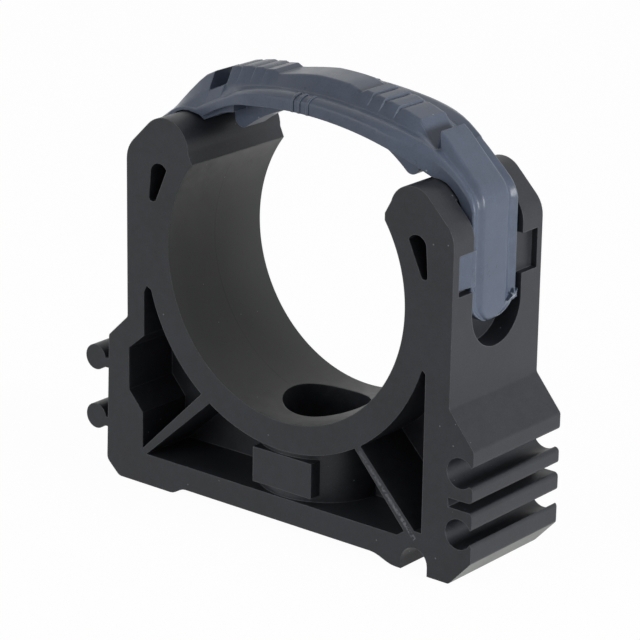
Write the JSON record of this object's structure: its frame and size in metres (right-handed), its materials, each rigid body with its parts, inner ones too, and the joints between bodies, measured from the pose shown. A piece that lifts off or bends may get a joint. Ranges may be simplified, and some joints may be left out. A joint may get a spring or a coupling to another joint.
{
  "type": "pipe clip",
  "caption": "Plastic pipe clip: an open round cradle between two posts on a ribbed, pocketed foot, closed over the pipe by a hinged strap with finger grips.",
  "frame": {"origin": "on the mounting plane under the feet, at the middle of the outline across the clip and along the pipe; the pipe's axis is 2.95 mm to +X of it and 55.6 mm above it", "axes": "+X across the clip, from the hinged post with the round ribs to the snap post with the keyholes; +Y along the pipe, from front to rear; +Z away from the mounting face"},
  "size_m": [0.105, 0.03, 0.0964],
  "materials": {
    "black_plastic": "dark grey-black moulded plastic with a low sheen",
    "blue_grey_plastic": "blue-grey moulded plastic with a soft sheen"
  },
  "bodies": {
    "clip_base": {"base": "black_plastic"},
    "clip_strap": {"strap": "blue_grey_plastic"}
  },
  "joints": [
    {"name": "strap_hinge", "type": "hinge", "parent": "clip_base", "child": "clip_strap", "pos_m": [-0.03795, 0, 0.0686], "axis": [0, -1, 0], "range_deg": [0, 110]}
  ]
}
